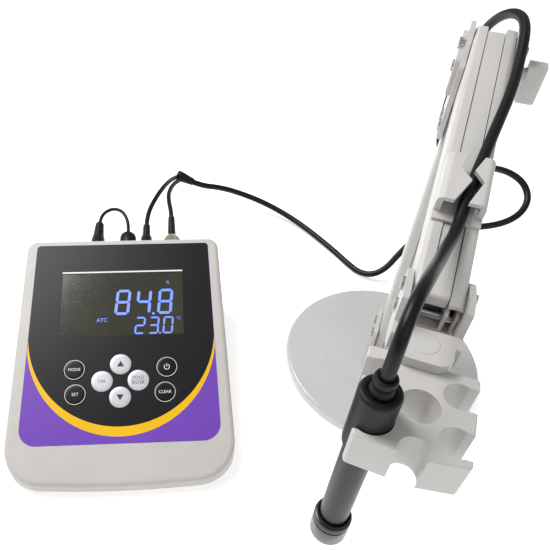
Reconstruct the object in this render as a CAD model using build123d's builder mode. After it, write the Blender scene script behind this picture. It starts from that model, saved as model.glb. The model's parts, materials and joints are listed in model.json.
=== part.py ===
"""Bench water quality meter with its electrode stand, probe and cables.

Millimetres, +Z up. The origin is the centre of the stand disc's underside.
The meter stands to the left of the disc (-X) with its keys towards -Y.
The stand is drawn in its own frame (x across the arms, y towards the elbow)
and turned about Z by stand_turn when it is written.
"""

from build123d import *
from math import cos, pi, radians, sin, tan
import os

# ---- meter -----------------------------------------------------------------
meter_x = -198.0          # centre of the meter across
meter_y = -75.4           # front edge of the key panel
front_margin = 25.3       # housing in front of the key panel
meter_depth = 177.5
front_width = 155.0
back_width = 147.0
panel_slope = 18.2        # degrees
panel_z = 20.3            # height of the panel's front edge
panel_length = 154.0
panel_front_width = 135.5
panel_back_width = 131.5
rim_z = 5.0               # joint between the two halves of the housing
wall = 2.5
foot_height = 1.5
connector_z = 53.0        # height of the rear sockets

key_radius = 7.5
key_gap = 0.35
key_height = 1.5
key_travel = 0.4
# key name: across, along the panel from its front edge
keys = {
    "key_mode": (-32.7, 52.6), "key_set": (-31.4, 34.6),
    "key_power": (32.0, 52.8), "key_clear": (30.5, 34.6),
    "key_cal": (-13.2, 43.6), "key_enter": (12.0, 43.7),
    "key_up": (-0.5, 55.8), "key_down": (-0.5, 31.9),
}
window_width = 89.5
window_length = 50.5
window_along = 103.0      # centre of the window from the panel's front edge
panel_skin = 0.6

# ---- stand -----------------------------------------------------------------
disc_radius = 73.0
disc_top = 10.0
pad_height = 1.5
stand_x = 2.6             # the swivel axis, from the disc's centre
stand_y = -1.4
stand_turn = -24.5        # degrees about Z

arm_half = 11.0           # half the channel's width
slot_half = 4.9           # half the gap that the inner bar lies in
bar_half = 4.5
web_low = -6.0            # channel's back, from its pivot line
web_high = -3.0
flange_top = 17.5
pivot_offset = 13.0       # between the two pivots at each end of an arm
bar_depth = 4.2           # half the inner bar's height
pin_radius = 2.0
pin_play = 0.05
open_play = 0.35          # around the pivot pin that the linkage leaves open
cheek_in = 11.4
cheek_out = 14.2

lower_tilt = 78.0         # degrees above the horizontal
upper_tilt = 14.3
base_pivot = (6.0, 41.0)          # y, z of the channel's pivot
lower_length = 156.4
elbow_low = (38.5, 194.0)
elbow_high = (39.5, 223.3)
upper_length = 166.3

# ---- holder and probe ------------------------------------------------------
tongue_top = 186.4
tongue_thick = 5.0
swivel_y = -144.0         # holder's swivel axis under the tongue
plate_top = 181.1
plate_thick = 20.0
probe_x = -13.8
probe_y = -183.7
probe_low = 80.0
shaft_radius = 6.8
sleeve_radius = 8.4
sleeve_low = 163.0
sleeve_high = 197.5

# ---- cables ----------------------------------------------------------------
cable_d = 5.4
lead_d = 4.0
tether_d = 2.9

meter = Location((meter_x, meter_y, 0))
stand = Location((stand_x, stand_y, 0), (0, 0, stand_turn))
still = Location((0, 0, 0))

os.makedirs("parts", exist_ok=True)


def save(piece, name, place=still):
    """Label a finished piece, put it in its place and write its STEP file."""
    placed = piece.moved(place)
    placed.label = name
    export_step(placed, f"parts/{name}.step")


def on_stand(x, y, z):
    """A point of the stand's own frame in the row's frame."""
    turn = radians(stand_turn)
    return (stand_x + x * cos(turn) - y * sin(turn),
            stand_y + x * sin(turn) + y * cos(turn), z)


# ============================== METER =======================================
slope = radians(panel_slope)
panel_plane = Plane(origin=(0, 0, panel_z), x_dir=(1, 0, 0),
                    z_dir=(0, -sin(slope), cos(slope)))
back_y = meter_depth - front_margin


def footprint(inset):
    """Outline of the housing seen from above, drawn in by inset."""
    with BuildLine() as edge:
        half_front = front_width / 2 - inset
        half_back = back_width / 2 - inset
        front = -front_margin + 4 + inset
        back = back_y - inset
        Line((half_front, front), (half_back, back))
        Line((half_back, back), (-half_back, back))
        Line((-half_back, back), (-half_front, front))
        ThreePointArc((-half_front, front), (0, front - 4), (half_front, front))
    return edge.line


def slab(inset, low, high, corner_front=26.0, corner_back=8.0):
    """The footprint as a slab between two heights, with round corners."""
    with BuildPart() as body:
        with BuildSketch(Plane.XY.offset(low)) as base:
            add(footprint(inset))
            make_face()
            fillet(base.vertices().group_by(Axis.Y)[0], corner_front - inset)
            fillet(base.vertices().group_by(Axis.Y)[-1], corner_back - inset)
        extrude(amount=high - low)
    return body.part


def panel_outline():
    """Outline of the key panel in its own plane."""
    with BuildSketch() as outline:
        with BuildLine():
            Polyline((-panel_front_width / 2, 0), (panel_front_width / 2, 0),
                     (panel_back_width / 2, panel_length), (-panel_back_width / 2, panel_length),
                     close=True)
        make_face()
        fillet(outline.vertices().group_by(Axis.Y)[0], 12)
        fillet(outline.vertices().group_by(Axis.Y)[-1], 3)
    return outline.sketch


with BuildPart() as cavity:
    add(slab(wall, rim_z - 1, 90))
    split(bisect_by=panel_plane.offset(-wall), keep=Keep.BOTTOM)

with BuildPart() as upper_housing:
    add(slab(0, rim_z, 90))
    split(bisect_by=panel_plane, keep=Keep.BOTTOM)
    top_edges = upper_housing.faces().sort_by(Axis.Z)[-1].edges()
    fillet(top_edges, 3.5)
    add(cavity.part, mode=Mode.SUBTRACT)
    # recess for the key panel
    with BuildSketch(panel_plane):
        add(panel_outline())
    extrude(amount=-panel_skin, mode=Mode.SUBTRACT)
    # window and key openings
    with BuildSketch(panel_plane):
        with Locations((0, window_along)):
            Rectangle(window_width - 4, window_length - 4)
        for across, along in keys.values():
            with Locations((across, along)):
                Circle(key_radius + key_gap)
    extrude(amount=-12, mode=Mode.SUBTRACT)
    # rear sockets
    with BuildSketch(Plane.XZ.offset(-back_y - 1)):
        with Locations((-22.5, connector_z), (17.0, connector_z), (2.0, connector_z)):
            Circle(3.6)
        with Locations((38.0, connector_z)):
            Circle(4.8)
    extrude(amount=8, mode=Mode.SUBTRACT)
save(upper_housing.part, "upper_housing", meter)

with BuildPart() as lower_housing:
    add(slab(1.0, foot_height, rim_z))
    fillet(lower_housing.faces().sort_by(Axis.Z)[0].edges(), 1.2)
    add(slab(1.0 + wall, foot_height + 2.0, rim_z + 1), mode=Mode.SUBTRACT)
    # screw posts under the main board
    with BuildSketch(Plane.XY.offset(foot_height + 1.9)):
        with GridLocations(108, 118, 2, 2):
            with Locations((0, 70)):
                Circle(4)
    extrude(amount=8)
    with BuildSketch(Plane.XY):
        with GridLocations(108, 118, 2, 2):
            with Locations((0, 70)):
                Circle(1.6)
    extrude(amount=20, mode=Mode.SUBTRACT)
save(lower_housing.part, "lower_housing", meter)

with BuildPart() as case_screws:
    with BuildSketch(Plane.XY.offset(foot_height + 0.4)):
        with GridLocations(108, 118, 2, 2):
            with Locations((0, 70)):
                Circle(1.55)
    extrude(amount=8)
save(case_screws.part, "case_screws", meter)

with BuildPart() as meter_feet:
    with BuildSketch(Plane.XY):
        with GridLocations(110, 136, 2, 2):
            with Locations((0, 62)):
                Circle(5.5)
    extrude(amount=foot_height)
    chamfer(meter_feet.faces().sort_by(Axis.Z)[0].edges(), 0.4)
save(meter_feet.part, "meter_feet", meter)

with BuildPart() as overlay_panel:
    with BuildSketch(panel_plane):
        add(panel_outline())
        with Locations((0, window_along)):
            Rectangle(window_width, window_length, mode=Mode.SUBTRACT)
        for across, along in keys.values():
            with Locations((across, along)):
                Circle(key_radius + key_gap, mode=Mode.SUBTRACT)
    extrude(amount=-panel_skin)
save(overlay_panel.part, "overlay_panel", meter)

with BuildPart() as display_window:
    with BuildSketch(panel_plane):
        with Locations((0, window_along)):
            Rectangle(window_width, window_length)
    extrude(amount=-panel_skin)
save(display_window.part, "display_window", meter)

module_depth = wall + 0.6
with BuildPart() as display_module:
    with BuildSketch(panel_plane.offset(-module_depth)):
        with Locations((0, window_along)):
            Rectangle(window_width + 4, window_length + 4)
    extrude(amount=-5)
save(display_module.part, "display_module", meter)

# The key caps stand a little proud and press switch domes on a sheet below.
key_plane = panel_plane.offset(0.3)
for name, (across, along) in keys.items():
    with BuildPart() as cap:
        with BuildSketch(key_plane):
            with Locations((across, along)):
                Circle(key_radius)
        extrude(amount=-key_height)
        fillet(cap.faces().sort_by(Axis((0, 0, 0), panel_plane.z_dir))[-1].edges(), 0.3)
    save(cap.part, name, meter)

with BuildPart() as dome_sheet:
    with BuildSketch(panel_plane.offset(-wall - 0.4)):
        with Locations((0, 43)):
            RectangleRounded(90, 50, 4)
    extrude(amount=-1.6)
save(dome_sheet.part, "dome_sheet", meter)

with BuildPart() as main_board:
    with BuildSketch(Plane.XY.offset(foot_height + 9.9)):
        with Locations((0, 70)):
            Rectangle(118, 128)
        with GridLocations(108, 118, 2, 2):
            with Locations((0, 70)):
                Circle(1.7, mode=Mode.SUBTRACT)
    extrude(amount=1.6)
    # processor, relay and terminal blocks
    with BuildSketch(Plane.XY.offset(foot_height + 11.4)):
        with Locations((-20, 90), (20, 90), (0, 118)):
            Rectangle(18, 14)
    extrude(amount=3)
save(main_board.part, "main_board", meter)

# ---- rear sockets, plugs and leads: each on an axis that runs along +Y -------
cap_x, cap2_x, temp_x, bnc_x = -22.5, 2.0, 17.0, 38.0


def turned(x, z, profile):
    """A piece of revolution about the line along +Y at (x, z)."""
    with BuildPart() as body:
        with BuildSketch(Plane(origin=(x, back_y, z), x_dir=(1, 0, 0), z_dir=(0, 0, 1))):
            with BuildLine():
                Polyline(*profile, close=True)
            make_face()
        revolve(axis=Axis((x, back_y, z), (0, 1, 0)))
    return body.part


with BuildPart() as rear_sockets:
    for x in (cap_x, cap2_x, temp_x):
        add(turned(x, connector_z, [(0, -6), (3.5, -6), (3.5, 0), (5.2, 0), (5.2, 1.8), (0, 1.8)]))
save(rear_sockets.part, "rear_sockets", meter)

save(turned(bnc_x, connector_z, [(0, -7), (4.7, -7), (4.7, 0), (6.3, 0), (6.3, 2.5), (4.75, 2.5),
                                 (4.75, 11), (0, 11)]), "bnc_socket", meter)

save(turned(bnc_x, connector_z, [(4.85, 4), (7.8, 4), (7.8, 13.5), (6.8, 15), (4.85, 15)]),
     "bnc_coupling_ring", meter)
save(turned(bnc_x, connector_z, [(0, 11), (4.6, 11), (4.6, 15.3), (6.6, 15.3), (5.6, 18), (3.8, 20), (0, 20)]),
     "bnc_plug", meter)
save(turned(bnc_x, connector_z, [(0, 20), (3.5, 20), (3.2, 26), (2.8, 46), (0, 46)]),
     "bnc_boot", meter)
save(turned(temp_x, connector_z, [(0, 1.8), (4.6, 1.8), (4.6, 20), (3.3, 22), (2.9, 36), (0, 36)]),
     "temperature_plug", meter)
save(turned(cap_x, connector_z, [(0, 1.8), (5.4, 1.8), (5.4, 20), (4.6, 22), (3.6, 38), (2.6, 40), (0, 40)]),
     "charger_plug", meter)
save(turned(cap2_x, connector_z, [(0, 1.8), (6.6, 1.8), (6.6, 20), (4.6, 23.5), (0, 23.5)]),
     "socket_cap", meter)


def cord(route, diameter):
    """A tube along straight runs joined by tangent arcs, and its bend radii."""
    points = [Vector(*p) for p in route]
    radii = []
    for before, here, after in zip(points, points[1:], points[2:]):
        turn = (here - before).get_angle(after - here)
        shorter = min((here - before).length, (after - here).length)
        radii.append(0.45 * shorter / tan(radians(turn) / 2))
    with BuildPart() as tube:
        with BuildLine() as path:
            FilletPolyline(*points, radius=radii)
        with BuildSketch(Plane(origin=points[0], z_dir=points[1] - points[0])):
            Circle(diameter / 2)
        sweep()
    ideal = pi * diameter ** 2 / 4 * path.wires()[0].length
    print("cord length", round(path.wires()[0].length, 1), "volume ratio",
          round(tube.part.volume / ideal, 4), "radii", [round(r, 1) for r in radii])
    return tube.part


def rear(x, length):
    """The rear end of a plug that is length long behind the housing."""
    return (meter_x + x, meter_y + back_y + length, connector_z)


charger_end = rear(cap_x, 40)
cap_end = rear(cap2_x, 23.5)
tether_route = [
    charger_end, (-220.2, 122.0, 53.6), (-217.2, 128.5, 55.2), (-210.0, 131.8, 56.8),
    (-202.3, 128.8, 56.8), (-197.6, 120.0, 55.2), (-196.0, 109.0, 53.4), cap_end]
temp_end = rear(temp_x, 36)
split_x, split_y, split_z = -150.0, 204.0, 39.0
temp_route = [
    temp_end, (-180.6, 122.0, 53.6), (-178.0, 134.0, 55.0), (-172.5, 149.0, 56.0),
    (-166.5, 165.0, 54.5), (-161.5, 180.0, 50.0), (-156.8, 193.5, 44.5), (split_x - 2.6, split_y - 1.2, split_z + 0.8)]
bnc_end = rear(bnc_x, 46)
bnc_route = [
    bnc_end, (-160.2, 132.0, 53.2), (-161.8, 145.0, 53.0), (-162.0, 159.0, 51.5),
    (-159.3, 173.0, 48.3), (-155.9, 185.0, 44.8), (-151.4, 194.5, 41.0), (split_x + 1.8, split_y - 1.6, split_z - 0.6)]
save(cord(tether_route, tether_d), "tether_lead")
save(cord(temp_route, lead_d), "temperature_lead")
save(cord(bnc_route, lead_d), "signal_lead")

# moulded joint of the two leads and the probe cable
split_dir = Vector(18.0, -6.0, -6.0).normalized()
split_plane = Plane(origin=(split_x, split_y, split_z), z_dir=split_dir)
splitter_length = 14.0
with BuildPart() as cable_splitter:
    with BuildSketch(split_plane.offset(-4)):
        Circle(4.9)
    with BuildSketch(split_plane.offset(splitter_length)):
        Circle(3.2)
    loft()
save(cable_splitter.part, "cable_splitter")

# ============================== STAND =======================================
with BuildPart() as base_pad:
    with BuildSketch():
        Circle(disc_radius - 3)
    extrude(amount=pad_height)
save(base_pad.part, "base_pad")

with BuildPart() as base_disc:
    with BuildSketch(Plane.XY.offset(pad_height)):
        Circle(disc_radius)
    extrude(amount=disc_top - pad_height)
    fillet(base_disc.faces().sort_by(Axis.Z)[-1].edges(), 2.2)
    fillet(base_disc.faces().sort_by(Axis.Z)[0].edges(), 1.0)
    with Locations((stand_x, stand_y, disc_top)):
        Hole(4.05)
save(base_disc.part, "base_disc")

bracket_low = disc_top + 1.1
bracket_floor = bracket_low + 2.6
with BuildPart() as swivel_washer:
    with BuildSketch(Plane.XY.offset(disc_top)):
        Circle(11.5)
        Circle(4.05, mode=Mode.SUBTRACT)
    extrude(amount=0.8)
save(swivel_washer.part, "swivel_washer", stand)

with BuildPart() as swivel_bolt:
    with BuildSketch(Plane.XY.offset(pad_height)):
        Circle(4)
    extrude(amount=bracket_floor + 0.3 - pad_height)
    with BuildSketch(Plane.XY.offset(bracket_floor + 0.3)):
        RegularPolygon(6.4, 6)
    extrude(amount=2.0)
save(swivel_bolt.part, "swivel_bolt", stand)


def side_outline(points, inner, outer, radius):
    """A pair of cheeks, one each side of the arms, from a (y, z) outline."""
    with BuildPart() as pair:
        for sign in (1, -1):
            with BuildSketch(Plane.YZ.offset(sign * inner)) as outline:
                with BuildLine():
                    Polyline(*points, close=True)
                make_face()
                fillet(outline.vertices(), radius)
            extrude(amount=sign * (outer - inner))
    return pair.part


def across(points, radius, half):
    """Round bars along x through the (y, z) points."""
    with BuildPart() as bars:
        with BuildSketch(Plane.YZ):
            with Locations(*points):
                Circle(radius)
        extrude(amount=half, both=True)
    return bars.part


def pins(points):
    """Pivot pins with a low round head on each end."""
    with BuildPart() as group:
        add(across(points, pin_radius, cheek_out + 0.1))
        for sign in (1, -1):
            with BuildSketch(Plane.YZ.offset(sign * (cheek_out + 0.02))):
                with Locations(*points):
                    Circle(3.2)
            extrude(amount=sign * 1.3)
    return group.part


def partner(point, front):
    """The second pivot beside a channel's pivot: in front of it or above it."""
    if front:
        return (point[0] - pivot_offset, point[1])
    return (point[0], point[1] + pivot_offset)


base_pins_at = [base_pivot, partner(base_pivot, True)]
low_pins_at = [elbow_low, partner(elbow_low, True)]
high_pins_at = [elbow_high, partner(elbow_high, False)]
holder_pivot = (elbow_high[0] - upper_length * cos(radians(upper_tilt)),
                elbow_high[1] - upper_length * sin(radians(upper_tilt)))
holder_pins_at = [holder_pivot, partner(holder_pivot, False)]

with BuildPart() as swivel_bracket:
    with BuildSketch(Plane.XY.offset(bracket_low)):
        with Locations((0, -3)):
            RectangleRounded(2 * cheek_out, 34, 4)
    extrude(amount=bracket_floor - bracket_low)
    add(side_outline([(-19, bracket_low), (13, bracket_low), (13, 48), (-13, 48), (-19, 24)],
                     cheek_in, cheek_out, 2.5))
    with BuildSketch(Plane.XY.offset(bracket_floor)):
        with Locations((0, -18.4)):
            Rectangle(2 * cheek_in, 2.6)
    extrude(amount=23.5 - bracket_floor)
    with Locations((0, 0, bracket_floor)):
        Hole(4.35)
    add(across(base_pins_at, pin_radius + 0.02, 30), mode=Mode.SUBTRACT)
save(swivel_bracket.part, "swivel_bracket", stand)
save(pins(base_pins_at), "base_pins", stand)


def arm_side(pivot, tilt):
    """Side view plane of an arm: x from its upper pivot to its lower, y to its open side."""
    angle = radians(tilt)
    return Plane(origin=(0, *pivot), x_dir=(0, -cos(angle), -sin(angle)), z_dir=(-1, 0, 0))


def side_box(side, start, end, low, high, left, right, radius=0.0):
    """A bar seen from its side, start to end along it, between two x offsets."""
    with BuildPart() as bar:
        with BuildSketch(side.offset(-left)) as outline:
            with Locations(((start + end) / 2, (low + high) / 2)):
                if radius:
                    RectangleRounded(end - start, high - low, radius)
                else:
                    Rectangle(end - start, high - low)
        extrude(amount=left - right)
    return bar.part


def channel(pivot, tilt, length, past_top, past_end, swing):
    """An arm's outer channel: back web, two hollow flanges and its pivot holes."""
    side = arm_side(pivot, tilt)
    along = Axis((0, 0, 0), side.x_dir)
    with BuildPart() as body:
        add(side_box(side, -past_top, length + past_end, web_low, flange_top, -arm_half, arm_half))
        long_edges = body.edges().filter_by(along)
        fillet(long_edges.sort_by(Axis((0, 0, 0), side.y_dir))[-2:], 2.6)
        fillet(body.edges().filter_by(along).sort_by(Axis((0, 0, 0), side.y_dir))[:2], 1.2)
        run = (-past_top - 1, length + past_end + 1)
        add(side_box(side, *run, web_high, flange_top + 1, -slot_half, slot_half), mode=Mode.SUBTRACT)
        for left in (-9.5, 6.5):
            add(side_box(side, *run, web_low + 2, flange_top - 2.4, left, left + 3.0), mode=Mode.SUBTRACT)
        # the inner bar's pins pass through curved slots in the flanges
        with BuildSketch(side):
            with Locations((0, 0), (length, 0)):
                Circle(pin_radius + pin_play)
            for centre in (0, length):
                with BuildLine(mode=Mode.PRIVATE) as sweep_arc:
                    CenterArc((centre, 0), pivot_offset, 90 - swing[1], swing[0] + swing[1])
                SlotArc(sweep_arc.edges()[0], 2 * pin_radius + 1.0)
        extrude(amount=arm_half + 1, both=True, mode=Mode.SUBTRACT)
    return body.part


def inner_bar(pivot, tilt, length, front, past_top, past_end):
    """The second bar of an arm, a shallow channel that lies between the flanges."""
    side = arm_side(pivot, tilt)
    other = partner(pivot, front)
    offset = Vector(0, other[0] - pivot[0], other[1] - pivot[1])
    shift = offset.dot(side.x_dir)
    height = offset.dot(side.y_dir)
    with BuildPart() as bar:
        add(side_box(side, shift - past_top, length + past_end, height - bar_depth, height + bar_depth,
                     -bar_half, bar_half, 2.0))
        add(side_box(side, shift + 9, length + shift - 9, height - bar_depth - 1, height + 1.8,
                     -3.0, 3.0), mode=Mode.SUBTRACT)
        with BuildSketch(side):
            with Locations((shift, height)):
                Circle(pin_radius + pin_play)
            with Locations((length + shift, height)):
                Circle(pin_radius + open_play)
        extrude(amount=bar_half + 1, both=True, mode=Mode.SUBTRACT)
    return bar.part


save(channel(elbow_low, lower_tilt, lower_length, 6, 22, (18, 30)), "lower_channel", stand)
save(inner_bar(elbow_low, lower_tilt, lower_length, True, 8, 19), "lower_inner_bar", stand)
save(channel(elbow_high, upper_tilt, upper_length, 14, 5, (34, 34)), "upper_channel", stand)
save(inner_bar(elbow_high, upper_tilt, upper_length, False, 9.5, 2), "upper_inner_bar", stand)

elbow_outline = [(18, 187), (53, 187), (54, 208), (60, 222), (58, 243), (45, 243.5), (24, 229)]
with BuildPart() as elbow_bracket:
    add(side_outline(elbow_outline, cheek_in, cheek_out, 3))
    # thicker outer pads around the upper pivots
    add(side_outline([(30, 209), (50, 209), (55, 222), (53, 239), (43, 240), (30, 230)],
                     cheek_out - 0.1, cheek_out + 2.6, 2.5))
    with BuildSketch(Plane.YZ.offset(-cheek_in)):
        with Locations((51.0, 197)):
            Rectangle(2.6, 18)
    extrude(amount=2 * cheek_in)
    add(across(low_pins_at, pin_radius + 0.02, 30), mode=Mode.SUBTRACT)
    add(across(high_pins_at, pin_radius + 0.02, 30), mode=Mode.SUBTRACT)
save(elbow_bracket.part, "elbow_bracket", stand)

with BuildPart() as elbow_pins:
    add(pins(low_pins_at))
    add(across(high_pins_at, pin_radius, cheek_out + 2.6))
    with BuildSketch(Plane.YZ.offset(-cheek_out - 2.6)):
        with Locations(*high_pins_at):
            Circle(3.2)
    extrude(amount=-1.2)
    with BuildSketch(Plane.YZ.offset(cheek_out + 2.6)):
        with Locations(high_pins_at[1]):
            Circle(3.2)
    extrude(amount=1.2)
save(elbow_pins.part, "elbow_pins", stand)

# tension knob: a stem on the upper pivot's axis with a tall wing
knob_in = cheek_out + 2.9
with BuildPart() as tension_knob:
    with BuildSketch(Plane.YZ.offset(knob_in)):
        with Locations(elbow_high):
            Circle(5.2)
    extrude(amount=4.4)
    with BuildSketch(Plane.YZ.offset(knob_in + 4.2)):
        with Locations((elbow_high[0] + 1, elbow_high[1] - 2.8)):
            RectangleRounded(8.5, 22.5, 1.6)
    extrude(amount=9.8)
    fillet(tension_knob.faces().sort_by(Axis.X)[-1].edges(), 1.4)
save(tension_knob.part, "tension_knob", stand)

# cable clip, snapped over the upper channel
clip_side = arm_side(elbow_high, upper_tilt)
clip_start, clip_end = 96.0, 129.0
clip_base = flange_top + 0.05
clip_top = clip_base + 10.5
clip_face = Plane(origin=clip_side.from_local_coords((0, clip_base, 0)), x_dir=(1, 0, 0),
                  z_dir=clip_side.y_dir)
down = -1 if clip_face.y_dir.dot(clip_side.x_dir) > 0 else 1
with BuildPart() as cable_clip:
    add(side_box(clip_side, clip_start, clip_end, clip_base, clip_top, -10.6, 10.6))
    fillet(cable_clip.edges().filter_by(Axis((0, 0, 0), clip_side.x_dir))
           .sort_by(Axis((0, 0, 0), clip_side.y_dir))[-2:], 3.2)
    add(side_box(clip_side, clip_start - 1, clip_end + 1, clip_base + 1.4, clip_top - 2.2, -7.8, 7.8),
        mode=Mode.SUBTRACT)
    # the top is two lobes that meet in a bent gap, and is shorter than the base
    with BuildSketch(clip_face.offset(5)):
        with BuildLine():
            Polyline(*[(x, -down * along) for x, along in (
                (-1.6, clip_start - 2), (6.2, clip_start - 2), (2.2, clip_start + 9), (7.0, clip_start + 15),
                (1.6, clip_end - 2), (1.6, clip_end + 2), (-4.6, clip_end + 2), (-4.6, clip_end - 2),
                (1.8, clip_start + 15), (-3.6, clip_start + 9))], close=True)
        make_face()
    extrude(amount=8, mode=Mode.SUBTRACT)
    add(side_box(clip_side, clip_end - 4.5, clip_end + 1, clip_base + 1.4, clip_top + 1, -11, 11),
        mode=Mode.SUBTRACT)
save(cable_clip.part, "cable_clip", stand)

# ============================== HOLDER ======================================
py, pz = holder_pivot
with BuildPart() as holder_bracket:
    add(side_outline([(-143, 176), (-143, tongue_top), (-136, tongue_top), (-136, 200.5), (-127, 201.5),
                      (py + 8, 198), (py + 8, 173), (-116.5, 165), (-130, 165)], cheek_in, cheek_out, 1.2))
    with BuildSketch(Plane.XY.offset(165)):
        with Locations((0, -123.5)):
            Rectangle(2 * cheek_in + 1, 12)
    extrude(amount=3.4)
    with BuildSketch(Plane.XY.offset(tongue_top - tongue_thick)) as tongue:
        with BuildLine():
            Polyline((-cheek_in - 0.5, -136), (cheek_in + 0.5, -136), (cheek_in + 0.5, -154.5),
                     (-cheek_in - 0.5, -154.5), close=True)
        make_face()
        fillet(tongue.vertices().group_by(Axis.Y)[0], 6.5)
    extrude(amount=tongue_thick)
    with BuildSketch(Plane.XY.offset(tongue_top)):
        with Locations((0, swivel_y)):
            Circle(4.0)
    extrude(amount=-30, mode=Mode.SUBTRACT)
    with BuildSketch(Plane.XY.offset(tongue_top)):
        with Locations((0, swivel_y)):
            Circle(5.95)
    extrude(amount=-1.6, mode=Mode.SUBTRACT)
    add(across(holder_pins_at, pin_radius + 0.02, 30), mode=Mode.SUBTRACT)
save(holder_bracket.part, "holder_bracket", stand)
save(pins(holder_pins_at), "holder_pins", stand)

with BuildPart() as swivel_cap:
    with BuildSketch(Plane.XY.offset(tongue_top - 1.6)):
        with Locations((0, swivel_y)):
            Circle(5.9)
    extrude(amount=1.75)
    fillet(swivel_cap.faces().sort_by(Axis.Z)[-1].edges(), 0.25)
    with BuildSketch(Plane.XY.offset(tongue_top - 1.6)):
        with Locations((0, swivel_y)):
            Circle(3.95)
    extrude(amount=-(tongue_top - 1.6 - plate_top + plate_thick + 0.3))
    with BuildSketch(Plane.XY.offset(plate_top - plate_thick - 0.3)):
        with Locations((0, swivel_y)):
            Circle(6.2)
    extrude(amount=-1.4)
save(swivel_cap.part, "swivel_cap", stand)

# notches: x, y and radius, and which way each one opens
notches = [
    (17.0, -162.0, 6.6, "right"), (17.6, -183.6, 6.7, "right"), (-14.2, -160.5, 6.0, "left"),
    (probe_x, probe_y, sleeve_radius + 0.35, "left"), (3.2, -193.0, 6.0, "front"),
]
centre_hole, centre_radius = (2.8, -172.3), 8.0
opening = {"right": (12, 0), "left": (-12, 0), "front": (0, -12)}
with BuildPart() as electrode_holder:
    with BuildSketch(Plane.XY.offset(plate_top)) as plate:
        with BuildLine():
            Polyline((-21, -148.5), (-9, -148.5), (-9, -136.5), (9, -136.5), (9, -150.5), (24, -150.5),
                     (24, -192.5), (8, -195.5), (-19, -194.5), (-20.5, -188), close=True)
        make_face()
        fillet(plate.vertices(), 1.6)
    extrude(amount=-plate_thick)
    fillet(electrode_holder.faces().sort_by(Axis.Z)[-1].edges(), 0.8)
    with BuildSketch(Plane.XY.offset(plate_top + 1)):
        with Locations(centre_hole):
            Circle(centre_radius)
        for x, y, r, way in notches:
            with Locations((x, y)):
                Circle(r)
            with Locations((x + opening[way][0] / 2, y + opening[way][1] / 2)):
                if way == "front":
                    Rectangle(2 * r - 1.6, 12)
                else:
                    Rectangle(12, 2 * r - 1.6)
        with Locations((0, swivel_y)):
            Circle(4.3)
    extrude(amount=-plate_thick - 2, mode=Mode.SUBTRACT)
save(electrode_holder.part, "electrode_holder", stand)

# ============================== PROBE =======================================


def probe_turned(profile):
    """A piece of revolution about the probe's upright axis."""
    with BuildPart() as body:
        with BuildSketch(Plane(origin=(probe_x, probe_y, 0), x_dir=(1, 0, 0), z_dir=(0, -1, 0))):
            with BuildLine():
                Polyline(*profile, close=True)
            make_face()
        revolve(axis=Axis((probe_x, probe_y, 0), (0, 0, 1)))
    return body.part


cap_high = probe_low + 17.0
save(probe_turned([(0, cap_high + 1), (4.6, cap_high + 1), (4.6, cap_high - 8), (5.5, cap_high - 8),
                   (5.5, cap_high + 0.2), (shaft_radius, cap_high + 0.2),
                   (shaft_radius, sleeve_high - 3), (0, sleeve_high - 3)]), "probe_shaft", stand)
save(probe_turned([(shaft_radius, sleeve_low), (sleeve_radius - 0.6, sleeve_low),
                   (sleeve_radius, sleeve_low + 0.8), (sleeve_radius, sleeve_high - 1.5),
                   (sleeve_radius - 1.5, sleeve_high), (4.2, sleeve_high), (4.2, sleeve_high - 3),
                   (shaft_radius, sleeve_high - 3)]), "probe_sleeve", stand)
relief_top = sleeve_high + 8
save(probe_turned([(0, sleeve_high - 3), (4.2, sleeve_high - 3), (4.2, sleeve_high), (4.9, sleeve_high),
                   (4.9, sleeve_high + 1.2), (4.0, sleeve_high + 3.0), (4.6, sleeve_high + 6.0),
                   (4.6, relief_top - 0.6), (4.0, relief_top), (0, relief_top)]), "strain_relief", stand)
save(probe_turned([(3.2, probe_low), (8.2, probe_low), (9.0, probe_low + 0.8), (9.0, cap_high - 0.8),
                   (8.4, cap_high), (5.6, cap_high), (5.6, probe_low + 5.0), (3.2, probe_low + 2.5)]),
     "membrane_cap", stand)
save(probe_turned([(0, probe_low + 3.2), (2.9, probe_low + 3.2), (2.9, cap_high - 2), (4.5, cap_high - 2),
                   (4.5, cap_high + 1), (0, cap_high + 1)]), "sensing_electrode", stand)

with BuildPart() as seal_ring:
    with BuildSketch(Plane(origin=(probe_x, probe_y, 0), x_dir=(1, 0, 0), z_dir=(0, -1, 0))):
        with Locations((shaft_radius + 0.75, cap_high + 0.9)):
            Circle(0.7)
    revolve(axis=Axis((probe_x, probe_y, 0), (0, 0, 1)))
save(seal_ring.part, "seal_ring", stand)

# ============================== PROBE CABLE =================================
splitter_end = tuple(Vector(split_x, split_y, split_z) + split_dir * splitter_length)
table = cable_d / 2 + 0.05
tunnel = clip_base + 4.85        # height of the cable's middle inside the clip


def on_arm(x, along, above):
    """A point beside the upper arm: along it from the elbow, above its lower pivots."""
    local = clip_side.from_local_coords((along, above, -x))
    return on_stand(local.X, local.Y, local.Z)


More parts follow.
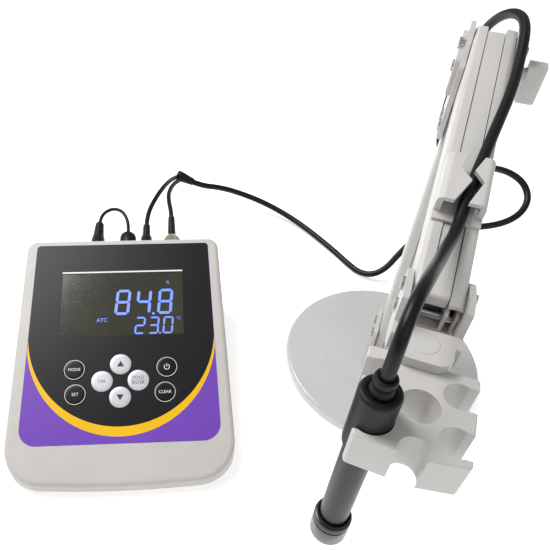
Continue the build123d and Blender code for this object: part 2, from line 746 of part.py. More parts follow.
# The whole cable, and the runs in whose middle one node ends and the next begins.
cable_route = [
    splitter_end, (-128.0, 198.5, 31.3), (-113.0, 203.5, 26.0), (-93.0, 205.0, 18.5), (-64.0, 195.0, 11.0), (-35.0, 171.0, 5.5),
    (-9.0, 133.0, table), (1.0, 113.0, table), (8.5, 100.5, 3.2), (18.5, 94.0, 6.5), (29.5, 95.5, 13.0),
    (40.5, 102.5, 24.0), (54.0, 108.0, 38.0), (70.0, 104.0, 51.0), (90.0, 93.0, 59.5), (110.0, 89.0, 65.5), (126.0, 93.0, 71.5),
    (136.0, 104.0, 78.5), (135.0, 117.0, 86.0), (123.0, 124.0, 92.5), (106.0, 122.0, 98.5),
    (86.0, 114.0, 105.5), (65.0, 102.0, 116.0),
    on_stand(-2.0, 101.0, 130.0), on_stand(-8.5, 94.5, 147.0), on_stand(-10.8, 92.0, 167.0),
    on_stand(-11.0, 91.0, 186.0), on_stand(-10.0, 89.0, 205.0), on_stand(-7.0, 83.0, 223.0),
    on_stand(-2.0, 72.5, 240.0), on_stand(6.0, 58.0, 250.5), on_stand(12.5, 41.0, 251.5),
    on_arm(13.0, 23.0, 22.5), on_arm(11.5, 45.0, 22.2), on_arm(8.0, 70.0, 22.0), on_arm(4.8, 94.0, tunnel),
    on_arm(1.8, 116.0, tunnel), on_arm(0.6, 137.0, tunnel - 0.3),
    on_stand(-2.6, -113.0, 212.5), on_stand(-5.2, -129.0, 217.0), on_stand(-7.8, -144.0, 224.0),
    on_stand(-10.2, -157.5, 228.5), on_stand(-12.3, -168.5, 229.3), on_stand(-13.5, -178.0, 225.6),
    on_stand(probe_x, probe_y, 217.5), on_stand(probe_x, probe_y, relief_top),
]
cable_cuts = {"cable_table": 7, "cable_loop": 22, "cable_riser": 26, "cable_elbow": 33, "cable_arm": 38,
              "cable_drop": 41, "cable_tail": None}


def middle(run):
    """The middle of the run that ends at this point of the cable's route."""
    return tuple((Vector(*cable_route[run - 1]) + Vector(*cable_route[run])) / 2)


start, first = [], 0
for name, cut in cable_cuts.items():
    finish = [middle(cut)] if cut else []
    save(cord(start + cable_route[first:cut] + finish, cable_d), name)
    start, first = finish, cut
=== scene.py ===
"""Bench water quality meter, electrode stand, probe and cables: the visual model.

Metres, in the CAD model's frame. Sizes given in millimetres are turned into
metres by the helpers that take them.
"""

import json
from math import cos, hypot, pi, radians, sin

import bpy
from mathutils import Euler, Matrix, Vector


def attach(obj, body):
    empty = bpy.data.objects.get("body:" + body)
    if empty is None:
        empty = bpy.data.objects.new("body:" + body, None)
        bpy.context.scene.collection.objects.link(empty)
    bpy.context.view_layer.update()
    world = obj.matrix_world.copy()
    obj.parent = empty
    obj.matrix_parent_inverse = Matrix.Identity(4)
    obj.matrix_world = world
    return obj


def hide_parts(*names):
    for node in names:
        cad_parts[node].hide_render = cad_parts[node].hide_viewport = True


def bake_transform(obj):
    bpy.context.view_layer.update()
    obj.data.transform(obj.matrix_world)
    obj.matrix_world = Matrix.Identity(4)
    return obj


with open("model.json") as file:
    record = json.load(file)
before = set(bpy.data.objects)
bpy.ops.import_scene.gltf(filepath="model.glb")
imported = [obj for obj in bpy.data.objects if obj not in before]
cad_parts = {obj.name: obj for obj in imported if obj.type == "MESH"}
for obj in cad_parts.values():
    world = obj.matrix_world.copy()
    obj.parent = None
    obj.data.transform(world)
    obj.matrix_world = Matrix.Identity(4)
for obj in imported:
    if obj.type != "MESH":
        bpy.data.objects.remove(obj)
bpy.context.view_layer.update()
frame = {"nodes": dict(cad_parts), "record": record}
MM = 0.001

# ---- places and sizes shared with the CAD model, in millimetres ---------------
METER_X, METER_Y = -198.0, -75.4
PANEL_Z, PANEL_SLOPE = 20.3, radians(18.2)
PANEL_LENGTH, PANEL_FRONT, PANEL_BACK = 154.0, 135.5, 131.5
WINDOW_WIDTH, WINDOW_LENGTH, WINDOW_ALONG = 89.5, 50.5, 103.0
KEY_RADIUS = 7.5
KEYS = {
    "mode": (-32.7, 52.6), "set": (-31.4, 34.6), "power": (32.0, 52.8), "clear": (30.5, 34.6),
    "cal": (-13.2, 43.6), "enter": (12.0, 43.7), "up": (-0.5, 55.8), "down": (-0.5, 31.9),
}
BACK_Y, CONNECTOR_Z = METER_Y + 152.2, 53.0
CHARGER_X, CHARGER_LENGTH = -22.5, 40.0
SOCKET_CAP_X, SOCKET_CAP_LENGTH = 2.0, 23.5
TEMPERATURE_X, TEMPERATURE_LENGTH = 17.0, 36.0
BNC_X, BNC_LENGTH = 38.0, 46.0
STAND_X, STAND_Y, STAND_TURN = 2.6, -1.4, radians(-24.5)
ARM_PIVOT, ARM_TILT = (39.5, 223.3), radians(14.3)
PROBE_X, PROBE_Y, PROBE_LOW = -13.8, -183.7, 80.0
CABLE_D, LEAD_D, TETHER_D = 5.4, 4.0, 2.9


def on_stand(x, y, z):
    """A point of the stand's own frame in the part's frame, in millimetres."""
    return (STAND_X + x * cos(STAND_TURN) - y * sin(STAND_TURN),
            STAND_Y + x * sin(STAND_TURN) + y * cos(STAND_TURN), z)


def on_arm(x, along, above):
    """A point beside the upper arm: along it from the elbow, above its lower pivots."""
    y = ARM_PIVOT[0] - along * cos(ARM_TILT) - above * sin(ARM_TILT)
    z = ARM_PIVOT[1] - along * sin(ARM_TILT) + above * cos(ARM_TILT)
    return on_stand(x, y, z)


def basis(origin, x, y, z):
    """A matrix from three axes and an origin in millimetres."""
    columns = Matrix((Vector(x).normalized(), Vector(y).normalized(), Vector(z).normalized())).transposed()
    return Matrix.Translation(Vector(origin) * MM) @ columns.to_4x4()


PANEL = basis((METER_X, METER_Y, PANEL_Z), (1, 0, 0), (0, cos(PANEL_SLOPE), sin(PANEL_SLOPE)),
              (0, -sin(PANEL_SLOPE), cos(PANEL_SLOPE)))

# ============================== CAMERA ======================================
CAMERA_PLACE = (-160.83, -287.09, 376.16)
CAMERA_TURNS = (44.393, -0.815, -2.823)  # degrees about X, Y and Z
camera = bpy.data.objects.new("camera", bpy.data.cameras.new("camera"))
bpy.context.scene.collection.objects.link(camera)
camera.matrix_world = Matrix.LocRotScale(
    Vector(CAMERA_PLACE) * MM, Euler([radians(turn) for turn in CAMERA_TURNS]), None)
camera.data.sensor_width = 36
camera.data.lens = 39.45
camera.data.shift_x = 0.1377
camera.data.shift_y = 0.0367
camera.data.clip_start = 0.01
bpy.context.scene.camera = camera


# ============================== MATERIALS ===================================
GLOSS_RANGE = 0.08  # how far the roughness varies either way
GRAIN_DEPTH = 0.4  # the relief's depth as a part of the grain's size


def material(name, color, roughness, grain=0.4, bump=0.1, vary=0.04, metallic=0.0, coat=0.0,
             patches=25.0, shine=0.5):
    """A procedural finish: its colour varies over patches and its gloss over grain, both in mm."""
    made = bpy.data.materials.new(name)
    made.use_nodes = True
    nodes, links = made.node_tree.nodes, made.node_tree.links
    shader = nodes["Principled BSDF"]
    shader.inputs["Metallic"].default_value = metallic
    shader.inputs["Coat Weight"].default_value = coat
    shader.inputs["Specular IOR Level"].default_value = shine
    shader.inputs["Coat Roughness"].default_value = 0.12
    place = nodes.new("ShaderNodeTexCoord").outputs["Object"]
    slow = nodes.new("ShaderNodeTexNoise")
    slow.inputs["Scale"].default_value = 1 / (patches * MM)
    slow.inputs["Detail"].default_value = 4
    fine = nodes.new("ShaderNodeTexNoise")
    fine.inputs["Scale"].default_value = 1 / (grain * MM)
    fine.inputs["Detail"].default_value = 2
    for noise in (slow, fine):
        links.new(place, noise.inputs["Vector"])
    ramp = nodes.new("ShaderNodeValToRGB")
    ramp.color_ramp.elements[0].position = 0.3
    ramp.color_ramp.elements[1].position = 0.7
    ramp.color_ramp.elements[0].color = [c * (1 - vary) for c in color] + [1]
    ramp.color_ramp.elements[1].color = [min(1, c * (1 + vary)) for c in color] + [1]
    links.new(slow.outputs["Fac"], ramp.inputs["Fac"])
    links.new(ramp.outputs["Color"], shader.inputs["Base Color"])
    gloss = nodes.new("ShaderNodeMapRange")
    gloss.inputs["To Min"].default_value = max(0.02, roughness - GLOSS_RANGE)
    gloss.inputs["To Max"].default_value = roughness + GLOSS_RANGE
    links.new(fine.outputs["Fac"], gloss.inputs["Value"])
    links.new(gloss.outputs["Result"], shader.inputs["Roughness"])
    relief = nodes.new("ShaderNodeBump")
    relief.inputs["Strength"].default_value = bump
    relief.inputs["Distance"].default_value = grain * MM * GRAIN_DEPTH
    links.new(fine.outputs["Fac"], relief.inputs["Height"])
    links.new(relief.outputs["Normal"], shader.inputs["Normal"])
    return made


def glow(look, color, strength):
    """Let a finish give off light of its own."""
    shader = look.node_tree.nodes["Principled BSDF"]
    shader.inputs["Emission Color"].default_value = (*color, 1)
    shader.inputs["Emission Strength"].default_value = strength


SHELL = material("shell_plastic", (0.55, 0.525, 0.50), 0.5, grain=0.45, bump=0.25)
SHELL_LOW = material("shell_low_plastic", (0.42, 0.40, 0.38), 0.55, grain=0.45, bump=0.25)
FILM_BLACK = material("film_black", (0.007, 0.007, 0.008), 0.36, grain=0.25, bump=0.12, vary=0.15,
                      shine=0.22)
FILM_PURPLE = material("film_purple", (0.17, 0.060, 0.46), 0.38, grain=0.25, bump=0.12, shine=0.25)
FILM_YELLOW = material("film_yellow", (0.86, 0.50, 0.004), 0.38, grain=0.25, bump=0.12, shine=0.25)
FILM_WHITE = material("film_white", (0.80, 0.80, 0.78), 0.4, grain=0.25, bump=0.08)
GLASS = material("lcd_pane", (0.040, 0.038, 0.028), 0.14, grain=2.0, bump=0.01, vary=0.2, coat=0.15,
                 patches=60, shine=0.3)
DIGIT = material("lcd_digit", (0.14, 0.24, 0.85), 0.3, grain=0.3, bump=0.05)
glow(DIGIT, (0.18, 0.30, 1.0), 0.45)
KEY_BLACK = material("key_black", (0.007, 0.007, 0.008), 0.3, grain=0.3, bump=0.1, vary=0.12, shine=0.22)
KEY_SILVER = material("key_silver", (0.60, 0.60, 0.63), 0.33, grain=0.22, bump=0.12, metallic=0.2)
LEGEND_DARK = material("legend_dark", (0.012, 0.012, 0.014), 0.45, grain=0.3, bump=0.05)
RUBBER = material("black_rubber", (0.005, 0.005, 0.006), 0.42, grain=0.35, bump=0.22, vary=0.2, shine=0.25)
CABLE = material("cable_jacket", (0.004, 0.004, 0.005), 0.38, grain=0.5, bump=0.14, vary=0.2, shine=0.25)
SOCKET = material("socket_plastic", (0.02, 0.02, 0.022), 0.45, grain=0.3, bump=0.15)
NICKEL = material("nickel", (0.62, 0.58, 0.50), 0.24, grain=0.3, bump=0.06, metallic=1.0)
STEEL = material("screw_steel", (0.50, 0.50, 0.50), 0.34, grain=0.2, bump=0.1, metallic=1.0)
STAND = material("stand_plastic", (0.55, 0.535, 0.515), 0.36, grain=0.5, bump=0.1, vary=0.03)
DISC = material("disc_paint", (0.54, 0.535, 0.53), 0.27, grain=0.6, bump=0.06, vary=0.03, coat=0.2)
PROBE = material("probe_plastic", (0.008, 0.008, 0.009), 0.34, grain=0.35, bump=0.1, vary=0.2, shine=0.3)
PROBE_CAP = material("probe_cap_plastic", (0.008, 0.008, 0.009), 0.2, grain=0.4, bump=0.06, vary=0.2)
BOARD = material("board_green", (0.01, 0.10, 0.04), 0.5, grain=0.8, bump=0.2)
SILICONE = material("silicone", (0.45, 0.44, 0.42), 0.6, grain=0.5, bump=0.15)

FINISH = {
    "shell": SHELL, "overlay": FILM_BLACK, "window": GLASS, "display": LEGEND_DARK,
    "key_dark": KEY_BLACK, "key_light": KEY_SILVER, "board": BOARD, "membrane": SILICONE,
    "rubber": RUBBER, "cable": CABLE, "socket": SOCKET, "connector": NICKEL, "screw": STEEL,
    "disc": DISC, "stand": STAND, "probe_body": PROBE, "probe_cap": PROBE_CAP, "electrode": STEEL,
}
slot_of = {part["node"]: part["material_slot"] for part in frame["record"]["subparts"]}
for name, node in frame["nodes"].items():
    look = SHELL_LOW if name == "lower_housing" else FINISH[slot_of[name]]
    for held in node.material_slots:
        held.material = look


# ============================== SHAPES ======================================
CIRCLE_STEPS, TUBE_SIDES = 56, 20
TURNED_SHARP, TUBE_SHARP = 32, 40  # degrees


def piece(name, mesh, look, body, slot, *nodes):
    """Turn a mesh in the part's frame into a piece, which rides on a body if one is given."""
    made = bpy.data.objects.new(name, mesh)
    bpy.context.scene.collection.objects.link(made)
    mesh.materials.clear()
    mesh.materials.append(look)
    if body:
        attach(made, body)
    if nodes:
        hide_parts(*nodes)
    return made


def mesh_of(curve, place):
    """The mesh that a curve or text makes, moved by a matrix."""
    temp = bpy.data.objects.new("temp", curve)
    bpy.context.scene.collection.objects.link(temp)
    mesh = bpy.data.meshes.new_from_object(temp)
    bpy.data.objects.remove(temp)
    mesh.transform(place)
    return mesh


def flat(name, outlines, low, high, look, body, slot, nodes=()):
    """A film on the panel from closed outlines in mm; an outline inside another is a hole."""
    curve = bpy.data.curves.new(name, "CURVE")
    curve.dimensions = "2D"
    curve.fill_mode = "BOTH"
    curve.extrude = (high - low) / 2 * MM
    for outline in outlines:
        spline = curve.splines.new("POLY")
        spline.points.add(len(outline) - 1)
        for point, (x, y) in zip(spline.points, outline):
            point.co = (x * MM, y * MM, 0, 1)
        spline.use_cyclic_u = True
    lift = Matrix.Translation((0, 0, (low + high) / 2 * MM))
    piece(name, mesh_of(curve, PANEL @ lift), look, body, slot, *nodes)


def arc(x, y, radius, start, end, steps):
    """Points on an arc, angles in degrees."""
    turns = [radians(start + (end - start) * i / steps) for i in range(steps + 1)]
    return [(x + radius * cos(t), y + radius * sin(t)) for t in turns]


def circle(x, y, radius):
    """Points round a circle, without the first one again at the end."""
    return arc(x, y, radius, 0, 360, CIRCLE_STEPS)[:-1]


def rounded(x0, y0, x1, y1, radius):
    """A rectangle with round corners."""
    left, right, bottom, top = x0 + radius, x1 - radius, y0 + radius, y1 - radius
    return (arc(right, bottom, radius, -90, 0, 8) + arc(right, top, radius, 0, 90, 8)
            + arc(left, top, radius, 90, 180, 8) + arc(left, bottom, radius, 180, 270, 8))


def skin(name, points, rings, sides, sharp):
    """A closed mesh through rings of points, smooth but for edges sharper than an angle in degrees."""
    faces = []
    for ring in range(rings - 1):
        for i in range(sides):
            j = (i + 1) % sides
            a, b = ring * sides, (ring + 1) * sides
            faces.append((a + i, a + j, b + j, b + i))
    faces.append(tuple(reversed(range(sides))))
    faces.append(tuple(range((rings - 1) * sides, rings * sides)))
    mesh = bpy.data.meshes.new(name)
    mesh.from_pydata(points, [], faces)
    mesh.validate()
    mesh.shade_smooth()
    mesh.set_sharp_from_angle(angle=radians(sharp))
    return mesh


def lathe(name, profile, place, look, body, slot, nodes=(), sides=72, knurl=0.0, knurled=()):
    """A smooth turned shape from (radius, height) points in mm about local Z.

    Every other edge of the rings numbered in knurled is cut in by knurl.
    """
    points = []
    for ring, (full, height) in enumerate(profile):
        for i in range(sides):
            turn = 2 * pi * i / sides
            radius = full - knurl if ring in knurled and i % 2 else full
            points.append(place @ Vector((radius * cos(turn) * MM, radius * sin(turn) * MM, height * MM)))
    piece(name, skin(name, points, len(profile), sides, TURNED_SHARP), look, body, slot, *nodes)


def text(name, words, size, x, along, low, high, look, body, slot):
    """Raised lettering on the panel in the built-in font, centred at a point in mm."""
    curve = bpy.data.curves.new(name, "FONT")
    curve.body = words
    curve.size = size * MM
    curve.align_x, curve.align_y = "CENTER", "CENTER"
    curve.extrude = (high - low) / 2 * MM
    curve.resolution_u = 4
    lift = Matrix.Translation((x * MM, along * MM, (low + high) / 2 * MM))
    piece(name, mesh_of(curve, PANEL @ lift), look, body, slot)


# ============================== CABLES ======================================
def centreline(route):
    """Points along the NURBS spline whose control points are the route's, in metres."""
    curve = bpy.data.curves.new("route", "CURVE")
    curve.dimensions = "3D"
    curve.resolution_u = 10
    spline = curve.splines.new("NURBS")
    spline.points.add(len(route) - 1)
    for point, place in zip(spline.points, route):
        point.co = (*(c * MM for c in place), 1)
    spline.order_u = 3
    spline.use_endpoint_u = True
    mesh = mesh_of(curve, Matrix.Identity(4))
    return [v.co.copy() for v in mesh.vertices]


def tube(node, route, diameter, body, other=None):
    """The round cord of a node along a route in mm; it rides on the body unless other is given, and then it
    rides on none.
    """
    name = "visual_" + node
    line = centreline(route)
    last = len(line) - 1
    tangents = [(line[min(i + 1, last)] - line[max(i - 1, 0)]).normalized() for i in range(last + 1)]
    side = tangents[0].orthogonal().normalized()
    points = []
    for place, tangent in zip(line, tangents):
        side = (side - tangent * side.dot(tangent)).normalized()
        up = tangent.cross(side)
        for i in range(TUBE_SIDES):
            turn = 2 * pi * i / TUBE_SIDES
            points.append(place + (side * cos(turn) + up * sin(turn)) * diameter / 2 * MM)
    mesh = skin(name, points, len(line), TUBE_SIDES, TUBE_SHARP)
    made = piece(name, mesh, CABLE, None if other else body, "cable", node)
    if other:
        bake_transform(made)


SPLIT = Vector((-150.0, 204.0, 39.0))
SPLIT_WAY, SPLIT_LENGTH = Vector((18.0, -6.0, -6.0)).normalized(), 14.0
TABLE = CABLE_D / 2 + 0.05  # the height of the cable's middle where it rests on the table
TUNNEL = 22.4  # the height of its middle above the upper arm's lower pivots, in the clip
RELIEF_TOP = 205.5
CABLE_ROUTE = [
    tuple(SPLIT + SPLIT_WAY * SPLIT_LENGTH), (-128.0, 198.5, 31.3), (-113.0, 203.5, 26.0),
    (-93.0, 205.0, 18.5), (-64.0, 195.0, 11.0), (-35.0, 171.0, 5.5), (-9.0, 133.0, TABLE),
    (1.0, 113.0, TABLE), (8.5, 100.5, 3.2), (18.5, 94.0, 6.5),
    (29.5, 95.5, 13.0), (40.5, 102.5, 24.0), (54.0, 108.0, 38.0), (70.0, 104.0, 51.0), (90.0, 93.0, 59.5),
    (110.0, 89.0, 65.5), (126.0, 93.0, 71.5), (136.0, 104.0, 78.5), (135.0, 117.0, 86.0),
    (123.0, 124.0, 92.5), (106.0, 122.0, 98.5), (86.0, 114.0, 105.5), (65.0, 102.0, 116.0),
    on_stand(-2.0, 101.0, 130.0), on_stand(-8.5, 94.5, 147.0), on_stand(-10.8, 92.0, 167.0),
    on_stand(-11.0, 91.0, 186.0), on_stand(-10.0, 89.0, 205.0), on_stand(-7.0, 83.0, 223.0),
    on_stand(-2.0, 72.5, 240.0), on_stand(6.0, 58.0, 250.5), on_stand(12.5, 41.0, 251.5),
    on_arm(13.0, 23.0, 22.5), on_arm(11.5, 45.0, 22.2), on_arm(8.0, 70.0, 22.0), on_arm(4.8, 94.0, TUNNEL),
    on_arm(1.8, 116.0, TUNNEL), on_arm(0.6, 137.0, TUNNEL - 0.3),
    on_stand(-2.6, -113.0, 212.5), on_stand(-5.2, -129.0, 217.0), on_stand(-7.8, -144.0, 224.0),
    on_stand(-10.2, -157.5, 228.5), on_stand(-12.3, -168.5, 229.3), on_stand(-13.5, -178.0, 225.6),
    on_stand(PROBE_X, PROBE_Y, 217.5), on_stand(PROBE_X, PROBE_Y, RELIEF_TOP),
]
# each length of the cable: its node, how many points of the route come before its end, and the body that
# carries it or the two that it runs between
CABLE_RUNS = [
    ("cable_table", 7, "base", None), ("cable_loop", 22, "base", "swivel"),
    ("cable_riser", 26, "swivel", "lower arm"), ("cable_elbow", 33, "lower arm", "elbow"),
    ("cable_arm", 38, "elbow", "upper arm"), ("cable_drop", 41, "upper arm", "head"),
    ("cable_tail", None, "holder", "probe"),
]
start, first = [], 0
for name, cut, body, other in CABLE_RUNS:
    end = [tuple((Vector(CABLE_ROUTE[cut - 1]) + Vector(CABLE_ROUTE[cut])) / 2)] if cut else []
    tube(name, start + CABLE_ROUTE[first:cut] + end, CABLE_D, body, other)
    start, first = end, cut


def rear(x, length):
    """The rear end of a plug that is length long behind the housing."""
    return (METER_X + x, BACK_Y + length, CONNECTOR_Z)


tube("tether_lead", [
    rear(CHARGER_X, CHARGER_LENGTH), (-220.2, 122.0, 53.6), (-217.2, 128.5, 55.2), (-210.0, 131.8, 56.8),
    (-202.3, 128.8, 56.8), (-197.6, 120.0, 55.2), (-196.0, 109.0, 53.4),
    rear(SOCKET_CAP_X, SOCKET_CAP_LENGTH)],
    TETHER_D, "base")
tube("temperature_lead", [
    rear(TEMPERATURE_X, TEMPERATURE_LENGTH), (-180.6, 122.0, 53.6), (-178.0, 134.0, 55.0),
    (-172.5, 149.0, 56.0), (-166.5, 165.0, 54.5), (-161.5, 180.0, 50.0), (-156.8, 193.5, 44.5),
    (SPLIT.x - 2.6, SPLIT.y - 1.2, SPLIT.z + 0.8)],
    LEAD_D, "base")
tube("signal_lead", [
    rear(BNC_X, BNC_LENGTH), (-160.2, 132.0, 53.2), (-161.8, 145.0, 53.0), (-162.0, 159.0, 51.5),
    (-159.3, 173.0, 48.3), (-155.9, 185.0, 44.8), (-151.4, 194.5, 41.0),
    (SPLIT.x + 1.8, SPLIT.y - 1.6, SPLIT.z - 0.6)],
    LEAD_D, "base")

# ============================== KEY PANEL ===================================
FILM_LOW, YELLOW_TOP, BLACK_TOP, WHITE_TOP, DIGIT_TOP = -0.6, 0.04, 0.08, 0.12, 0.03
FRONT_CORNER, BACK_CORNER, KEY_GAP = 12.0, 3.0, 0.35
half_front, half_back = PANEL_FRONT / 2, PANEL_BACK / 2


def back_corners(side, top):
    """The two round corners at the panel's back, for an edge at side and top."""
    side, top = side - BACK_CORNER, top - BACK_CORNER
    return arc(side, top, BACK_CORNER, 0, 90, 6) + arc(-side, top, BACK_CORNER, 90, 180, 6)


panel_edge = (arc(half_front - FRONT_CORNER, FRONT_CORNER, FRONT_CORNER, -90, 0, 12)
              + back_corners(half_back, PANEL_LENGTH)
              + arc(-half_front + FRONT_CORNER, FRONT_CORNER, FRONT_CORNER, 180, 270, 12))
window_edge = [(sx * WINDOW_WIDTH / 2, WINDOW_ALONG + sy * WINDOW_LENGTH / 2)
               for sx, sy in ((-1, -1), (1, -1), (1, 1), (-1, 1))]
panel_holes = [window_edge] + [circle(x, y, KEY_RADIUS + KEY_GAP) for x, y in KEYS.values()]


def bowl(low, half, rise, inset):
    """The panel's back part behind half an ellipse whose nearest point is low, held in from the edge."""
    points, steps = [], 72
    for i in range(steps + 1):
        turn = pi * (1 + i / steps)
        along = low + rise + rise * sin(turn)
        edge = half_front - (half_front - half_back) * along / PANEL_LENGTH - inset
        points.append((max(-edge, min(edge, half * cos(turn))), along))
    return points + back_corners(half_back - inset, PANEL_LENGTH - inset)


flat("panel_purple", [panel_edge] + panel_holes, FILM_LOW, 0.0, FILM_PURPLE, "base", "overlay",
     ["overlay_panel"])
flat("panel_yellow", [bowl(4.8, 67.4, 73.0, 0.3)] + panel_holes, 0.0, YELLOW_TOP, FILM_YELLOW, "base",
     "overlay")
flat("panel_black", [bowl(11.5, 66.7, 70.0, 0.15)] + panel_holes, YELLOW_TOP, BLACK_TOP, FILM_BLACK, "base",
     "overlay")

# ---- display -----------------------------------------------------------------
flat("lcd_pane", [window_edge], FILM_LOW, 0.0, GLASS, "base", "window", ["display_window"])
flat("lcd_line", [rounded(-45.2, 129.2, 45.2, 130.4, 0.3)], BLACK_TOP, WHITE_TOP, FILM_WHITE, "base",
     "overlay")

SEGMENTS = {"8": "abcdefg", "4": "bcfg", "2": "abged", "3": "abgcd", "0": "abcdef"}


def segment_outlines(number, x, low, width, height, thick):
    """Seven-segment outlines of one digit whose left foot is at (x, low)."""
    slant, gap, half = 0.09, thick * 0.09, thick / 2

    def bar(x0, y0, x1, y1):
        """A pointed bar between two corners."""
        length = hypot(x1 - x0, y1 - y0)
        ux, uy = (x1 - x0) / length, (y1 - y0) / length
        local = [(gap, 0), (gap + half, half), (length - gap - half, half), (length - gap, 0),
                 (length - gap - half, -half), (gap + half, -half)]
        placed = [(x0 + a * ux - b * uy, y0 + a * uy + b * ux) for a, b in local]
        return [(x + px + slant * py, low + py) for px, py in placed]

    left, right, bottom, mid, top = half, width - half, half, height / 2, height - half
    bars = {
        "a": (left, top, right, top), "b": (right, mid, right, top), "c": (right, bottom, right, mid),
        "d": (left, bottom, right, bottom), "e": (left, bottom, left, mid), "f": (left, mid, left, top),
        "g": (left, mid, right, mid),
    }
    return [bar(*bars[s]) for s in SEGMENTS[number]]


reading = []
for number, x in (("8", -5.9), ("4", 9.6), ("8", 25.4)):
    reading += segment_outlines(number, x, 93.9, 10.9, 20.6, 2.1)
for number, x in (("2", 8.8), ("3", 18.9), ("0", 29.2)):
    reading += segment_outlines(number, x, 78.3, 7.5, 13.6, 1.35)
reading += [rounded(22.0, 93.6, 23.8, 95.4, 0.5), rounded(26.9, 78.3, 28.2, 79.6, 0.4)]
flat("lcd_reading", reading, 0.0, DIGIT_TOP, DIGIT, "base", "display")
for where, words, size, x, along in (("left", "ATC", 4.1, -14.5, 90.0), ("top", "%", 3.6, 33.9, 119.9),
                                     ("right", "°C", 3.2, 41.2, 90.2)):
    text("lcd_mark_" + where, words, size, x, along, 0.0, DIGIT_TOP, DIGIT, "base", "display")

# ---- keys --------------------------------------------------------------------
DARK_KEYS = ("mode", "set", "power", "clear")
LEGENDS = {"mode": ["MODE"], "set": ["SET"], "clear": ["CLEAR"], "cal": ["CAL"], "enter": ["HOLD", "ENTER"]}
LEGEND_SIZE, LEGEND_SPLIT = 3.0, 1.9
KEY_TOP = 0.3
INK_LOW, INK_TOP, MARK_TOP = KEY_TOP + 0.02, KEY_TOP + 0.13, KEY_TOP + 0.14
CROWN = [(KEY_RADIUS, KEY_TOP - 1.5), (KEY_RADIUS, KEY_TOP - 0.35), (KEY_RADIUS - 0.1, KEY_TOP - 0.12),
         (KEY_RADIUS - 0.35, KEY_TOP), (5.0, KEY_TOP + 0.06), (2.5, KEY_TOP + 0.09), (0.05, KEY_TOP + 0.1)]


def power_mark(x, along, radius, width):
    """Outlines of a broken ring with an upright bar in its gap."""
    outer = arc(x, along, radius, 128, 412, 36)
    inner = arc(x, along, radius - width, 412, 128, 36)
    bar = rounded(x - width / 2, along + 0.1, x + width / 2, along + radius + 0.5, width * 0.4)
    return [outer + inner, bar]


for key, (x, along) in KEYS.items():
    dark, body, words = key in DARK_KEYS, "key " + key, LEGENDS.get(key, [])
    slot, cap, ink = ("key_dark", KEY_BLACK, FILM_WHITE) if dark else ("key_light", KEY_SILVER, LEGEND_DARK)
    lathe("cap_" + key, CROWN, PANEL @ Matrix.Translation((x * MM, along * MM, 0)), cap, body, slot,
          ["key_" + key])
    if dark:
        flat("ring_" + key, [circle(x, along, 7.2), circle(x, along, 6.85)], KEY_TOP - 0.1, KEY_TOP + 0.07,
             FILM_WHITE, body, slot)
    for line, word in enumerate(words):
        shift = LEGEND_SPLIT * (1 - 2 * line) if len(words) == 2 else 0
        text(f"legend_{key}_{line}", word, LEGEND_SIZE, x, along + shift, INK_LOW, INK_TOP, ink, body, slot)
    if len(words) == 2:
        flat("legend_bar_" + key, [rounded(x - 5.4, along - 0.12, x + 5.4, along + 0.12, 0.1)],
             INK_LOW, INK_TOP, ink, body, slot)
    if key == "power":
        flat("legend_power", power_mark(x, along, 2.1, 0.5), INK_LOW, MARK_TOP, ink, body, slot)
    if key in ("up", "down"):
        way = 1 if key == "up" else -1
        foot, tip = along - 1.8 * way, along + 2.4 * way
        flat("legend_" + key, [[(x - 2.5, foot), (x + 2.5, foot), (x, tip)][::way]], KEY_TOP, MARK_TOP, ink,
             body, slot)


# ============================== PLUGS =======================================
def behind(x):
    """A frame at the back of the housing whose Z runs along a socket's axis."""
    return basis((METER_X + x, BACK_Y, CONNECTOR_Z), (1, 0, 0), (0, 0, -1), (0, 1, 0))


def ribbed(start, end, low, high, count):
    """A tapering sleeve with soft rings, as (radius, height) points."""
    points = []
    for i in range(count):
        at = [low + (high - low) * (i + part) / count for part in (0.08, 0.3, 0.62, 0.84)]
        wide = start + (end - start) * (i + 0.5) / count
        points += [(wide - 0.35, at[0]), (wide, at[1]), (wide, at[2]), (wide - 0.35, at[3])]
    return points


# profiles as (radius, height behind the housing)
TEMPERATURE_PLUG = ([(3.9, 1.8), (4.5, 2.3), (4.6, 3.2), (4.6, 18.6), (4.2, 19.8), (3.4, 20.4)]
                    + ribbed(3.3, 2.9, 21.0, 35.4, 5) + [(2.2, TEMPERATURE_LENGTH)])
CHARGER_PLUG = ([(4.7, 1.8), (5.3, 2.3), (5.4, 3.4), (5.4, 18.6), (5.1, 20.0), (4.4, 20.6)]
                + ribbed(4.5, 3.4, 21.2, 39.0, 6) + [(1.7, CHARGER_LENGTH)])
SOCKET_CAP = [(5.9, 1.8), (6.5, 2.4), (6.6, 3.2), (6.6, 8.2), (6.1, 8.8), (6.1, 9.8), (6.6, 10.4),
              (6.6, 19.4), (6.2, 21.0), (5.0, 22.8), (3.0, SOCKET_CAP_LENGTH), (0.05, SOCKET_CAP_LENGTH)]
BNC_RING = [(4.9, 4.0), (7.3, 4.0), (7.8, 4.5), (7.8, 5.6), (7.3, 6.0), (7.75, 6.4), (7.75, 12.2),
            (7.3, 12.6), (7.4, 13.4), (6.8, 14.8), (4.9, 15.0)]
BNC_PLUG = [(4.55, 11.0), (4.55, 15.3), (6.3, 15.3), (6.6, 15.6), (6.4, 16.4), (5.5, 18.0), (4.2, 19.3),
            (3.7, 20.0)]
BNC_BOOT = ([(3.4, 20.0), (3.5, 20.4), (3.4, 24.0)] + ribbed(3.3, 2.8, 24.6, 44.6, 6)
            + [(2.75, 45.2), (2.2, BNC_LENGTH)])

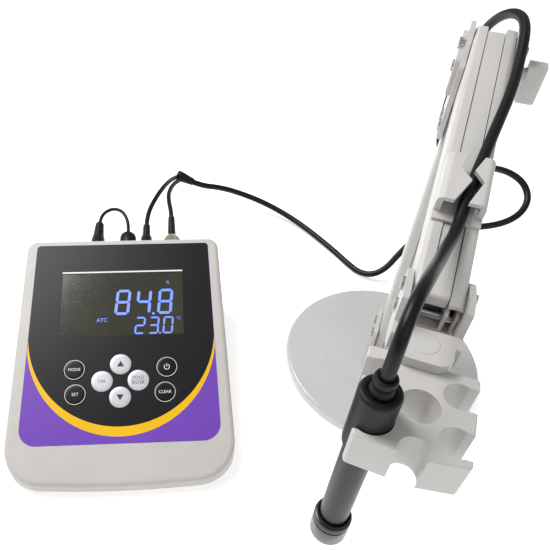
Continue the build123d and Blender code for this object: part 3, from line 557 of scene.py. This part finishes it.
lathe("temperature_plug_body", TEMPERATURE_PLUG, behind(TEMPERATURE_X), RUBBER, "base", "rubber",
      ["temperature_plug"])
lathe("charger_plug_body", CHARGER_PLUG, behind(CHARGER_X), RUBBER, "base", "rubber", ["charger_plug"])
lathe("socket_cap_body", SOCKET_CAP, behind(SOCKET_CAP_X), RUBBER, "base", "rubber", ["socket_cap"],
      sides=48, knurl=0.35, knurled=(6, 7))
lathe("bnc_ring_knurled", BNC_RING, behind(BNC_X), NICKEL, "coupling ring", "connector",
      ["bnc_coupling_ring"], sides=96, knurl=0.3, knurled=(5, 6))
lathe("bnc_plug_body", BNC_PLUG, behind(BNC_X), NICKEL, "base", "connector", ["bnc_plug"])
lathe("bnc_boot_body", BNC_BOOT, behind(BNC_X), RUBBER, "base", "rubber", ["bnc_boot"])

# ---- the splitter, where the two leads become one cable -----------------------
SPLITTER = [(2.4, -4.0), (4.1, -3.7), (4.8, -2.6), (4.9, -0.5), (4.7, 2.5), (4.1, 7.0), (3.6, 11.0),
            (3.3, 13.4), (2.8, SPLIT_LENGTH)]
split_side = SPLIT_WAY.orthogonal()
lathe("splitter_body", SPLITTER, basis(SPLIT, split_side, SPLIT_WAY.cross(split_side), SPLIT_WAY),
      RUBBER, "base", "rubber", ["cable_splitter"])

# ============================== PROBE =======================================
UPRIGHT = Matrix.Translation(Vector(on_stand(PROBE_X, PROBE_Y, 0)) * MM)
SLEEVE_LOW, SLEEVE_HIGH, CAP_HIGH = 163.0, 197.5, PROBE_LOW + 17.0
SLEEVE = [(6.85, SLEEVE_LOW), (7.9, SLEEVE_LOW), (8.3, SLEEVE_LOW + 0.4), (8.4, SLEEVE_LOW + 1.2),
          (8.4, SLEEVE_HIGH - 2.2), (8.25, SLEEVE_HIGH - 1.1), (7.7, SLEEVE_HIGH - 0.3),
          (7.0, SLEEVE_HIGH), (5.6, SLEEVE_HIGH - 0.2), (5.2, SLEEVE_HIGH - 0.8),
          (4.4, SLEEVE_HIGH - 0.9)]
RELIEF = [(4.2, SLEEVE_HIGH - 2.0), (4.8, SLEEVE_HIGH - 1.0), (4.9, SLEEVE_HIGH + 0.6),
          (4.5, SLEEVE_HIGH + 1.6), (4.0, SLEEVE_HIGH + 2.6), (4.0, SLEEVE_HIGH + 3.4),
          (4.4, SLEEVE_HIGH + 4.6), (4.6, SLEEVE_HIGH + 5.8), (4.6, SLEEVE_HIGH + 7.0),
          (4.3, SLEEVE_HIGH + 7.8), (3.4, SLEEVE_HIGH + 8.0), (2.7, SLEEVE_HIGH + 7.7)]
CAP = [(3.4, PROBE_LOW + 0.4), (3.9, PROBE_LOW + 0.1), (8.0, PROBE_LOW), (8.7, PROBE_LOW + 0.3),
       (9.0, PROBE_LOW + 1.0), (9.0, CAP_HIGH - 5.2), (8.6, CAP_HIGH - 4.7), (8.6, CAP_HIGH - 3.9),
       (9.0, CAP_HIGH - 3.4), (9.0, CAP_HIGH - 1.0), (8.7, CAP_HIGH - 0.3), (8.2, CAP_HIGH),
       (6.9, CAP_HIGH)]

lathe("sleeve_body", SLEEVE, UPRIGHT, RUBBER, "probe", "rubber", ["probe_sleeve"])
lathe("relief_body", RELIEF, UPRIGHT, RUBBER, "probe", "rubber", ["strain_relief"])
lathe("cap_body", CAP, UPRIGHT, PROBE_CAP, "probe", "probe_cap", ["membrane_cap"], sides=96, knurl=0.12,
      knurled=(4, 5))

# ============================== STAGE =======================================
bpy.ops.mesh.primitive_plane_add(size=6, location=(0, 0, 0))
floor = bpy.context.object
floor.name = "floor"
PAPER = material("floor_paper", (0.93, 0.93, 0.93), 0.85, grain=3.0, bump=0.02, vary=0.004)
glow(PAPER, (1, 1, 1), 0.50)
floor.data.materials.append(PAPER)

world = bpy.data.worlds.new("studio")
bpy.context.scene.world = world
world.use_nodes = True
world.node_tree.nodes["Background"].inputs["Color"].default_value = (1, 1, 1, 1)
world.node_tree.nodes["Background"].inputs["Strength"].default_value = 0.36
bpy.context.scene.view_settings.view_transform = "Standard"
LIGHT_TARGET = (-0.05, 0, 0.08)


def soft_light(name, place, size, power):
    """A square area light that faces the object."""
    light = bpy.data.objects.new(name, bpy.data.lights.new(name, "AREA"))
    bpy.context.scene.collection.objects.link(light)
    light.data.size = size
    light.data.energy = power
    light.location = place
    light.rotation_euler = (Vector(LIGHT_TARGET) - Vector(place)).to_track_quat("-Z", "Y").to_euler()


soft_light("key_light", (-0.8, 0.5, 1.4), 0.8, 24)
soft_light("fill_light", (0.3, -1.3, 1.1), 1.2, 4)
